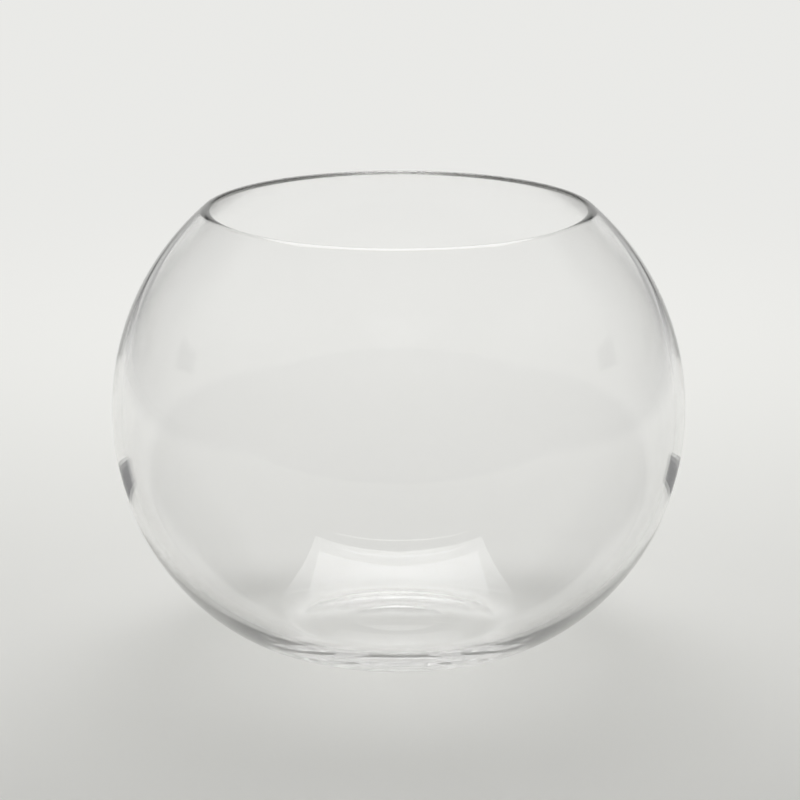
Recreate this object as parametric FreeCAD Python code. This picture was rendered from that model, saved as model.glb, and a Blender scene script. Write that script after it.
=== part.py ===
import FreeCAD, Part
import math
import os

# A rose bowl vase: one piece of clear blown glass, drawn in millimetres.
# The origin is the middle of the circle that it rests on, and +Z is up.
# The section is drawn at the right of the Z axis and turned once round it.

# Outside of the wall
belly_radius = 100.0
belly_height = 83.0
belly_bend = 97.5
foot_radius = 40.0
foot_rise_angle = 9.0
foot_reach_share = 0.45
foot_reach = foot_reach_share * (belly_radius - foot_radius)
rim_radius = 67.0
rim_height = 153.5
rim_lean_angle = 41.7
rim_reach_share = 0.881
rim_reach = rim_reach_share * (belly_radius - rim_radius)

# The rim: cut level across the wall, then melted round, more so on its outside
rim_width = 3.0
rim_outer_round = 2.4
rim_inner_round = 1.5

# Inside of the wall
belly_wall = 3.6
floor_inset = 3.0
floor_height = 5.5
floor_radius = foot_radius - floor_inset
floor_reach_share = 0.372
floor_reach = floor_reach_share * (belly_radius - foot_radius)
inner_bend_growth = 3.0
inner_bend = belly_bend + inner_bend_growth
inner_rim_reach = rim_reach * inner_bend / belly_bend

# Underside, with its shallow hollow and the ground spot in the middle
foot_ring_width = 5.0
hollow_height = 0.8
spot_radius = 16.5
spot_height = 1.2


def point(radius, height):
    """A point of the section."""
    return FreeCAD.Vector(radius, 0, height)


def shifted(start, length, angle):
    """The point that lies a length away at an angle above the horizontal."""
    slope = math.radians(angle)
    return start + FreeCAD.Vector(length * math.cos(slope), 0, length * math.sin(slope))


def handle(bend, sideways):
    """Length of an upright handle that gives the curve this bend radius at its end."""
    return math.sqrt(2 / 3 * bend * sideways)


def span(start, start_handle, end_handle, end):
    """A smooth curve between two points, led by a handle at each."""
    curve = Part.BezierCurve()
    curve.setPoles([start, start_handle, end_handle, end])
    return curve.toShape()


def dome(start, end):
    """An arc from one point to the next that lies level where it meets the axis."""
    rise = end.z - start.z
    run = start.x - end.x
    bend = (run * run + rise * rise) / (2 * rise)
    centre = end.z - bend
    middle = (start.x + end.x) / 2
    crown = centre + math.sqrt(bend * bend - (middle - end.x) ** 2)
    return Part.Arc(start, point(middle, crown), end).toShape()


def wall_curve(low, low_handle, belly, bend, rim_end, reach):
    """One face of the wall: up from its low end to the belly and in again to the rim."""
    rim_handle = shifted(rim_end, reach, -rim_lean_angle)
    below = handle(bend, belly.x - low_handle.x)
    above = handle(bend, belly.x - rim_handle.x)
    lower = span(low, low_handle, point(belly.x, belly.z - below), belly)
    upper = span(belly, point(belly.x, belly.z + above), rim_handle, rim_end)
    return [lower, upper]


def bowl_section():
    """The closed outline of the glass, at the right of the axis."""
    foot_edge = point(foot_radius, 0)
    hollow_edge = point(foot_radius - foot_ring_width, 0)
    spot_edge = point(spot_radius, hollow_height)
    under_middle = point(0, spot_height)
    floor_middle = point(0, floor_height)
    floor_edge = point(floor_radius, floor_height)

    outer_rim = point(rim_radius + rim_width / 2, rim_height)
    inner_rim = point(rim_radius - rim_width / 2, rim_height)
    onward = 180 - rim_lean_angle
    lip = span(
        inner_rim,
        shifted(inner_rim, rim_inner_round, onward),
        shifted(outer_rim, rim_outer_round, onward),
        outer_rim,
    )

    outside = wall_curve(
        foot_edge,
        shifted(foot_edge, foot_reach, foot_rise_angle),
        point(belly_radius, belly_height),
        belly_bend,
        outer_rim,
        rim_reach,
    )
    inside = wall_curve(
        floor_edge,
        shifted(floor_edge, floor_reach, 0),
        point(belly_radius - belly_wall, belly_height),
        inner_bend,
        inner_rim,
        inner_rim_reach,
    )
    edges = [
        Part.LineSegment(under_middle, floor_middle).toShape(),
        Part.LineSegment(floor_middle, floor_edge).toShape(),
        *inside,
        lip,
        *outside,
        Part.LineSegment(foot_edge, hollow_edge).toShape(),
        dome(hollow_edge, spot_edge),
        dome(spot_edge, under_middle),
    ]
    return Part.Face(Part.Wire(Part.__sortEdges__(edges)))


def glass_bowl():
    """The whole vase: its section turned once round the axis."""
    origin = FreeCAD.Vector(0, 0, 0)
    return bowl_section().revolve(origin, FreeCAD.Vector(0, 0, 1), 360)


os.makedirs("parts", exist_ok=True)
bowl = glass_bowl()
bowl.exportStep("parts/glass_bowl.step")
print("glass volume, cubic mm:", round(bowl.Volume))
print("height:", round(bowl.BoundBox.ZMax, 1), "width:", round(bowl.BoundBox.XLength, 1))
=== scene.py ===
import bpy
import math
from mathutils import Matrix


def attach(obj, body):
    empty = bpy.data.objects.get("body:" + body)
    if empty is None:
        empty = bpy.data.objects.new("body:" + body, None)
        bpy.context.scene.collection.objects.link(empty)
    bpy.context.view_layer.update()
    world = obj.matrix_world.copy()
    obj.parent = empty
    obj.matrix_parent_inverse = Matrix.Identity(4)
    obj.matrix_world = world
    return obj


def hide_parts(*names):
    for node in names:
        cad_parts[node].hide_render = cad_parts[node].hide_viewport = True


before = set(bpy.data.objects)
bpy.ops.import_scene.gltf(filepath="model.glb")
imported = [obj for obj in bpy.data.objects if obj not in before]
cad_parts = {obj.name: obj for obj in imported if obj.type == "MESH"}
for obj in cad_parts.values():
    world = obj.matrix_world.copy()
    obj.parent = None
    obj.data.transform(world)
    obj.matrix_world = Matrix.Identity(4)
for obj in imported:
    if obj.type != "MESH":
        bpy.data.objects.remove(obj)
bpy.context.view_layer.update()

# The bowl's section in metres: outside, inside and underside of the glass
belly_radius = 0.100
belly_height = 0.083
belly_bend = 0.0975
foot_radius = 0.040
foot_rise_angle = math.radians(9)
foot_reach_share = 0.45
foot_reach = foot_reach_share * (belly_radius - foot_radius)
rim_radius = 0.0670
rim_height = 0.1535
rim_lean_angle = math.radians(41.7)
rim_reach_share = 0.881
rim_reach = rim_reach_share * (belly_radius - rim_radius)
rim_width = 0.0030
rim_outer_round = 0.0024
rim_inner_round = 0.0015
belly_wall = 0.0036
floor_inset = 0.003
floor_height = 0.0055
floor_reach_share = 0.372
floor_reach = floor_reach_share * (belly_radius - foot_radius)
inner_bend_growth = 0.0030
foot_ring_width = 0.005
hollow_height = 0.0008
spot_radius = 0.0165
spot_height = 0.0012

# How finely the surface is divided
rounds = 360
span_steps = 72
rim_steps = 24
flat_steps = 24

# The glass itself: its refractive index, the colour it keeps and how fast it takes up the rest
glass_index = 1.52
glass_depth_colour = (0.91, 0.91, 0.908, 1)
glass_depth_density = 25

# The photograph's camera, for an image of 800 x 800 pixels
image_side_px = 800
focal_length_px = 4139.4
axis_column_px = 398.7
camera_distance = 1.4
camera_height = 0.4437
camera_pitch = math.radians(14.33)
camera_reach = 100
sensor_width_mm = 36

# The table lies just under the foot; painted shade darkens its colour a little in front, and it
# fades into the backdrop
table_half_width = 3.0
table_gap = 0.00015
table_colour = (0.87, 0.87, 0.85)
# Painted shade on the table's colour: where it starts and ends towards the camera, and the share of
# the colour it leaves
table_painted_shade_start = 0.04
table_painted_shade_end = 0.20
table_painted_shade_share = 0.93
table_fade_start = 0.25
table_fade_end = 0.9
backdrop_level = 0.82
backdrop_colour = (0.82, 0.82, 0.80, 1)

# Light that turns in the glass meets the room past the table's front and sides
table_front = 0.39
table_front_end = 0.41
table_side = 0.45
table_side_end = 0.75
beyond_table_level = 0.36

# The light panel above and behind the bowl: its outline, and how its light falls off
panel_height = 0.80
panel_half_width = 0.345
panel_back_half_width = 0.22
panel_near_edge = 0.14
panel_middle_edge = 0.23
panel_far_edge = 1.40
panel_lamp_reach = 0.30
panel_level = 3.9
panel_edge_level = 2.55
panel_fall_start = 0.55
panel_fall_end = 1.25
panel_fall_share = 0.40

# The room round it: its levels, which rise with the height above the horizon
white = (1, 1, 1, 1)
room_colour = (1, 1, 0.976, 1)
room_low_level = 0.36
room_high_level = 0.55
room_low = math.sin(math.radians(5))
room_high = math.sin(math.radians(40))

# Behind the bowl: where that begins, and the backdrop's level high up in its middle
behind_start = 0.20
behind_full = 0.50
backdrop_high_level = 0.62

# The dark room past both sides of the backdrop
dark_level = 0.25
dark_aside = 0.16
dark_aside_full = 0.26
dark_top = math.sin(math.radians(32))
dark_top_end = math.sin(math.radians(46))

# The pale low part of the backdrop
pale_end = math.sin(math.radians(12))
pale_fade_end = math.sin(math.radians(16))
pale_aside = 0.40
pale_aside_end = 0.60

# Two low dark cards stand on the table beside the bowl, the right one further back by the shift
card_near = (0.134, 0.130)
card_far = (0.200, 0.095)
card_shift = 0.012
card_height = 0.022
card_level = 0.25

# Light may turn many times inside the glass before it leaves
glass_bounces = 64


def on_curve(poles, share):
    """A point of the cubic curve led by four points."""
    rest = 1 - share
    weights = (rest ** 3, 3 * rest ** 2 * share, 3 * rest * share ** 2, share ** 3)
    radius = sum(w * p[0] for w, p in zip(weights, poles))
    height = sum(w * p[1] for w, p in zip(weights, poles))
    return (radius, height)


def span(start, start_handle, end_handle, end, steps):
    """The points of a smooth curve between two points, without its last one."""
    poles = (start, start_handle, end_handle, end)
    return [on_curve(poles, i / steps) for i in range(steps)]


def shifted(start, length, angle):
    """The point that lies a length away at an angle above the horizontal."""
    return (start[0] + length * math.cos(angle), start[1] + length * math.sin(angle))


def handle(bend, sideways):
    """Length of an upright handle that gives the curve this bend radius at its end."""
    return math.sqrt(2 / 3 * bend * sideways)


def wall_curve(low, low_handle, belly, bend, rim_end, reach):
    """One face of the wall, from its low end past the belly to the rim."""
    rim_handle = shifted(rim_end, reach, -rim_lean_angle)
    below = handle(bend, belly[0] - low_handle[0])
    above = handle(bend, belly[0] - rim_handle[0])
    lower = span(low, low_handle, (belly[0], belly[1] - below), belly, span_steps)
    upper = span(belly, (belly[0], belly[1] + above), rim_handle, rim_end, span_steps)
    return lower + upper


def dome(start, end):
    """An arc from one point to the next that lies level at its end."""
    rise = end[1] - start[1]
    run = start[0] - end[0]
    bend = (run * run + rise * rise) / (2 * rise)
    centre = end[1] - bend
    points = []
    for i in range(flat_steps):
        radius = start[0] - run * i / flat_steps
        away = radius - end[0]
        points.append((radius, centre + math.sqrt(bend * bend - away * away)))
    return points


def bowl_section():
    """The closed outline of the glass, from the middle of its floor round to the underside."""
    outer_rim = (rim_radius + rim_width / 2, rim_height)
    inner_rim = (rim_radius - rim_width / 2, rim_height)
    onward = math.pi - rim_lean_angle
    lip = span(
        inner_rim,
        shifted(inner_rim, rim_inner_round, onward),
        shifted(outer_rim, rim_outer_round, onward),
        outer_rim,
        rim_steps,
    )
    foot_edge = (foot_radius, 0)
    floor_radius = foot_radius - floor_inset
    inner_bend = belly_bend + inner_bend_growth
    inner_reach = rim_reach * inner_bend / belly_bend

    level = [(floor_radius * i / flat_steps, floor_height) for i in range(flat_steps)]
    inside = wall_curve(
        (floor_radius, floor_height),
        (floor_radius + floor_reach, floor_height),
        (belly_radius - belly_wall, belly_height),
        inner_bend,
        inner_rim,
        inner_reach,
    )
    outside = wall_curve(
        foot_edge,
        shifted(foot_edge, foot_reach, foot_rise_angle),
        (belly_radius, belly_height),
        belly_bend,
        outer_rim,
        rim_reach,
    )
    outside.reverse()
    hollow_edge = (foot_radius - foot_ring_width, 0)
    spot_edge = (spot_radius, hollow_height)
    middle = (0, spot_height)
    under = dome(hollow_edge, spot_edge) + dome(spot_edge, middle) + [middle]
    return level + inside + lip + [outer_rim] + outside + under


def turned_mesh(name, section):
    """A closed surface: the section turned round the axis, with one point at each end."""
    points = [(0, 0, section[0][1])]
    for radius, height in section[1:-1]:
        for i in range(rounds):
            angle = 2 * math.pi * i / rounds
            points.append((radius * math.cos(angle), radius * math.sin(angle), height))
    points.append((0, 0, section[-1][1]))
    last = len(points) - 1
    rings = len(section) - 2
    faces = []
    for i in range(rounds):
        after = (i + 1) % rounds
        faces.append((0, 1 + i, 1 + after))
        for ring in range(rings - 1):
            low = 1 + ring * rounds
            high = low + rounds
            faces.append((low + i, high + i, high + after, low + after))
        base = 1 + (rings - 1) * rounds
        faces.append((last, base + after, base + i))
    mesh = bpy.data.meshes.new(name)
    mesh.from_pydata(points, [], faces)
    mesh.validate()
    mesh.shade_smooth()
    mesh.update()
    return mesh


def linked(name, data):
    """A new object in the scene."""
    piece = bpy.data.objects.new(name, data)
    bpy.context.scene.collection.objects.link(piece)
    return piece


def glass_material():
    """Clear soda-lime glass that takes up a little light on long ways through it."""
    material = bpy.data.materials.new("clear_glass")
    material.use_nodes = True
    nodes = material.node_tree.nodes
    shader = nodes["Principled BSDF"]
    shader.inputs["Base Color"].default_value = white
    shader.inputs["Roughness"].default_value = 0
    shader.inputs["IOR"].default_value = glass_index
    shader.inputs["Transmission Weight"].default_value = 1
    depth = nodes.new("ShaderNodeVolumeAbsorption")
    depth.inputs["Color"].default_value = glass_depth_colour
    depth.inputs["Density"].default_value = glass_depth_density
    material.node_tree.links.new(depth.outputs[0], nodes["Material Output"].inputs["Volume"])
    return material


def add_bowl():
    """The bowl as a smooth surface, in the place of its plain solid."""
    bowl = linked("rose_bowl", turned_mesh("rose_bowl", bowl_section()))
    bowl.data.materials.append(glass_material())
    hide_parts("glass_bowl")
    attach(bowl, "root")


def add_camera():
    """The camera in front of the bowl, looking down at it a little."""
    data = bpy.data.cameras.new("camera")
    data.sensor_width = sensor_width_mm
    data.lens = sensor_width_mm * focal_length_px / image_side_px
    data.shift_x = (image_side_px / 2 - axis_column_px) / image_side_px
    data.clip_end = camera_reach
    camera = linked("camera", data)
    camera.location = (0, -camera_distance, camera_height)
    camera.rotation_euler = (math.pi / 2 - camera_pitch, 0, 0)
    bpy.context.scene.camera = camera


def empty_tree(tree):
    """The nodes and links of a node tree that has been cleared."""
    tree.nodes.clear()
    return tree.nodes, tree.links


def empty_material(name):
    """A new material without nodes, and its nodes and links."""
    material = bpy.data.materials.new(name)
    material.use_nodes = True
    return (material, *empty_tree(material.node_tree))


def feed(links, value, socket):
    """Give a socket its value, which may come from another node."""
    if isinstance(value, bpy.types.NodeSocket):
        links.new(value, socket)
    else:
        socket.default_value = value


def math_node(nodes, links, operation, *values):
    """The result of one sum on values or on other nodes' outputs."""
    node = nodes.new("ShaderNodeMath")
    node.operation = operation
    for socket, value in zip(node.inputs, values):
        feed(links, value, socket)
    return node.outputs[0]


def both(nodes, links, first, second):
    """The product of two shares."""
    return math_node(nodes, links, "MULTIPLY", first, second)


def remainder(nodes, links, share):
    """What a share leaves of 1."""
    return math_node(nodes, links, "SUBTRACT", 1, share)


def soft_step(nodes, links, value, start, end):
    """0 before the start, 1 past the end, and smooth between them."""
    step = nodes.new("ShaderNodeMapRange")
    step.interpolation_type = "SMOOTHSTEP"
    step.inputs["From Min"].default_value = start
    step.inputs["From Max"].default_value = end
    links.new(value, step.inputs["Value"])
    return step.outputs["Result"]


def blend(nodes, links, share, low, high):
    """A value between two levels, either of which may come from another node."""
    level = nodes.new("ShaderNodeMapRange")
    links.new(share, level.inputs["Value"])
    feed(links, low, level.inputs["To Min"])
    feed(links, high, level.inputs["To Max"])
    return level.outputs["Result"]


def glow(nodes, links, colour, level):
    """Light of one colour, as strong as the level."""
    light = nodes.new("ShaderNodeEmission")
    light.inputs["Color"].default_value = colour
    feed(links, level, light.inputs["Strength"])
    return light.outputs[0]


def mixed(nodes, links, share, first, second):
    """The first shader, with a share of the second."""
    mix = nodes.new("ShaderNodeMixShader")
    links.new(share, mix.inputs["Fac"])
    links.new(first, mix.inputs[1])
    links.new(second, mix.inputs[2])
    return mix.outputs[0]


def set_surface(nodes, links, shader):
    output = nodes.new("ShaderNodeOutputMaterial")
    links.new(shader, output.inputs["Surface"])


def straight_rays(nodes, links):
    """1 for what is seen past the bowl or straight through it, 0 for light that turns on its way."""
    rays = nodes.new("ShaderNodeLightPath").outputs
    turns = math_node(nodes, links, "ADD", rays["Glossy Depth"], rays["Diffuse Depth"])
    unturned = math_node(nodes, links, "LESS_THAN", turns, 1)
    seen = math_node(nodes, links, "MAXIMUM", rays["Is Camera Ray"], rays["Is Transmission Ray"])
    return both(nodes, links, seen, unturned)


def place(nodes):
    """The point that is shaded."""
    return nodes.new("ShaderNodeNewGeometry").outputs["Position"]


def parts(nodes, links, vector):
    """The X, Y and Z of a vector."""
    node = nodes.new("ShaderNodeSeparateXYZ")
    links.new(vector, node.inputs[0])
    return node.outputs


def panel_material():
    """A diffuser that is brightest along the middle of its near part."""
    material, nodes, links = empty_material("panel_light")
    x, y = parts(nodes, links, place(nodes))[:2]
    aside = math_node(nodes, links, "ABSOLUTE", x)
    beside = soft_step(nodes, links, aside, 0, panel_lamp_reach)
    level = blend(nodes, links, beside, panel_level, panel_edge_level)
    beyond = soft_step(nodes, links, y, panel_fall_start, panel_fall_end)
    fall = blend(nodes, links, beyond, 1, panel_fall_share)
    set_surface(nodes, links, glow(nodes, links, white, both(nodes, links, level, fall)))
    return material


def table_paper_with_painted_shade(nodes, links, towards):
    """Matt paper with painted shade: its colour darkens a little towards the camera, in place of the
    light falling off.
    """
    # Painted shade: the paper's colour is scaled down towards the camera
    shade = soft_step(nodes, links, towards, table_painted_shade_start, table_painted_shade_end)
    colour = nodes.new("ShaderNodeVectorMath")
    colour.operation = "SCALE"
    colour.inputs[0].default_value = table_colour
    links.new(blend(nodes, links, shade, 1, table_painted_shade_share), colour.inputs["Scale"])
    paper = nodes.new("ShaderNodeBsdfDiffuse")
    links.new(colour.outputs[0], paper.inputs["Color"])
    return paper.outputs[0]


def table_fade(nodes, links):
    """How far the table has turned into the backdrop, by the distance from the bowl."""
    length = nodes.new("ShaderNodeVectorMath")
    length.operation = "LENGTH"
    links.new(place(nodes), length.inputs[0])
    return soft_step(nodes, links, length.outputs["Value"], table_fade_start, table_fade_end)


def table_end(nodes, links, aside, towards):
    """1 past the table's front and sides, only for light that turns on its way."""
    front = soft_step(nodes, links, towards, table_front, table_front_end)
    side = soft_step(nodes, links, aside, table_side, table_side_end)
    past = math_node(nodes, links, "MAXIMUM", front, side)
    turned = remainder(nodes, links, straight_rays(nodes, links))
    return both(nodes, links, past, turned)


def table_material():
    """A pale matt table with painted shade in front, that ends in the room, and fades into the
    backdrop.
    """
    material, nodes, links = empty_material("table")
    x, y = parts(nodes, links, place(nodes))[:2]
    aside = math_node(nodes, links, "ABSOLUTE", x)
    towards = math_node(nodes, links, "MULTIPLY", y, -1)
    paper = table_paper_with_painted_shade(nodes, links, towards)
    backdrop = glow(nodes, links, backdrop_colour, 1)
    seen = mixed(nodes, links, table_fade(nodes, links), paper, backdrop)
    room = glow(nodes, links, white, beyond_table_level)
    whole = mixed(nodes, links, table_end(nodes, links, aside, towards), seen, room)
    set_surface(nodes, links, whole)
    return material


def card_material():
    """A dark card that shows only in light turned by the glass, not straight through it."""
    material, nodes, links = empty_material("dark_card")
    dark = glow(nodes, links, white, card_level)
    clear = nodes.new("ShaderNodeBsdfTransparent").outputs[0]
    set_surface(nodes, links, mixed(nodes, links, straight_rays(nodes, links), dark, clear))
    return material


def flat_piece(name, corners, material):
    """One flat piece of the studio."""
    mesh = bpy.data.meshes.new(name)
    mesh.from_pydata(corners, [], [tuple(range(len(corners)))])
    mesh.materials.append(material)
    piece = linked(name, mesh)
    return piece


def add_table():
    r = table_half_width
    z = -table_gap
    flat_piece("table", [(-r, -r, z), (r, -r, z), (r, r, z), (-r, r, z)], table_material())


def add_panel():
    """A panel that narrows to the back, with a near edge that is drawn back in the middle."""
    w = panel_half_width
    v = panel_back_half_width
    near = panel_near_edge
    middle = panel_middle_edge
    far = panel_far_edge
    h = panel_height
    corners = [(-v, far, h), (v, far, h), (w, near, h), (0, middle, h), (-w, near, h)]
    panel = flat_piece("light_panel", corners, panel_material())
    panel.visible_camera = False


def add_cards():
    """Low dark cards that only the glass shows, one at each side of the bowl."""
    material = card_material()
    for name, side, further in (("card_left", -1, 0), ("card_right", 1, card_shift)):
        near = (side * card_near[0], card_near[1] + further)
        far = (side * card_far[0], card_far[1] + further)
        corners = [(*near, 0), (*far, 0), (*far, card_height), (*near, card_height)]
        card = flat_piece(name, corners, material)
        card.visible_camera = False
        card.visible_diffuse = False
        card.visible_shadow = False


def room_level(nodes, links, direction):
    """How bright the room is in each direction, for light that turns on its way."""
    x, y, z = parts(nodes, links, direction)
    slant = math_node(nodes, links, "ABSOLUTE", x)
    behind = soft_step(nodes, links, y, behind_start, behind_full)
    aside = soft_step(nodes, links, slant, dark_aside, dark_aside_full)

    height = soft_step(nodes, links, z, room_low, room_high)
    level = blend(nodes, links, height, room_low_level, room_high_level)

    middle = both(nodes, links, remainder(nodes, links, aside), behind)
    level = blend(nodes, links, middle, level, backdrop_high_level)

    above = soft_step(nodes, links, z, dark_top, dark_top_end)
    dark = both(nodes, links, both(nodes, links, aside, behind), remainder(nodes, links, above))
    level = blend(nodes, links, dark, level, dark_level)

    raised = soft_step(nodes, links, z, pale_end, pale_fade_end)
    beside = soft_step(nodes, links, slant, pale_aside, pale_aside_end)
    lost = math_node(nodes, links, "MAXIMUM", raised, beside)
    pale = both(nodes, links, remainder(nodes, links, lost), behind)
    return blend(nodes, links, pale, level, backdrop_level)


def add_room():
    """A plain room, lighter overhead and behind, that looks even where it is seen straight."""
    world = bpy.data.worlds.new("room")
    bpy.context.scene.world = world
    world.use_nodes = True
    nodes, links = empty_tree(world.node_tree)
    direction = nodes.new("ShaderNodeTexCoord").outputs["Generated"]
    level = room_level(nodes, links, direction)
    level = blend(nodes, links, straight_rays(nodes, links), level, backdrop_level)
    room = nodes.new("ShaderNodeBackground")
    room.inputs["Color"].default_value = room_colour
    links.new(level, room.inputs["Strength"])
    output = nodes.new("ShaderNodeOutputWorld")
    links.new(room.outputs[0], output.inputs["Surface"])


def set_light_paths():
    """Let light travel far inside the glass, and keep its sharp reflections."""
    cycles = bpy.context.scene.cycles
    cycles.blur_glossy = 0
    cycles.max_bounces = glass_bounces
    cycles.transmission_bounces = glass_bounces
    cycles.glossy_bounces = glass_bounces


add_camera()
add_bowl()
add_table()
add_panel()
add_cards()
add_room()
set_light_paths()
bpy.context.scene.view_settings.view_transform = "Standard"
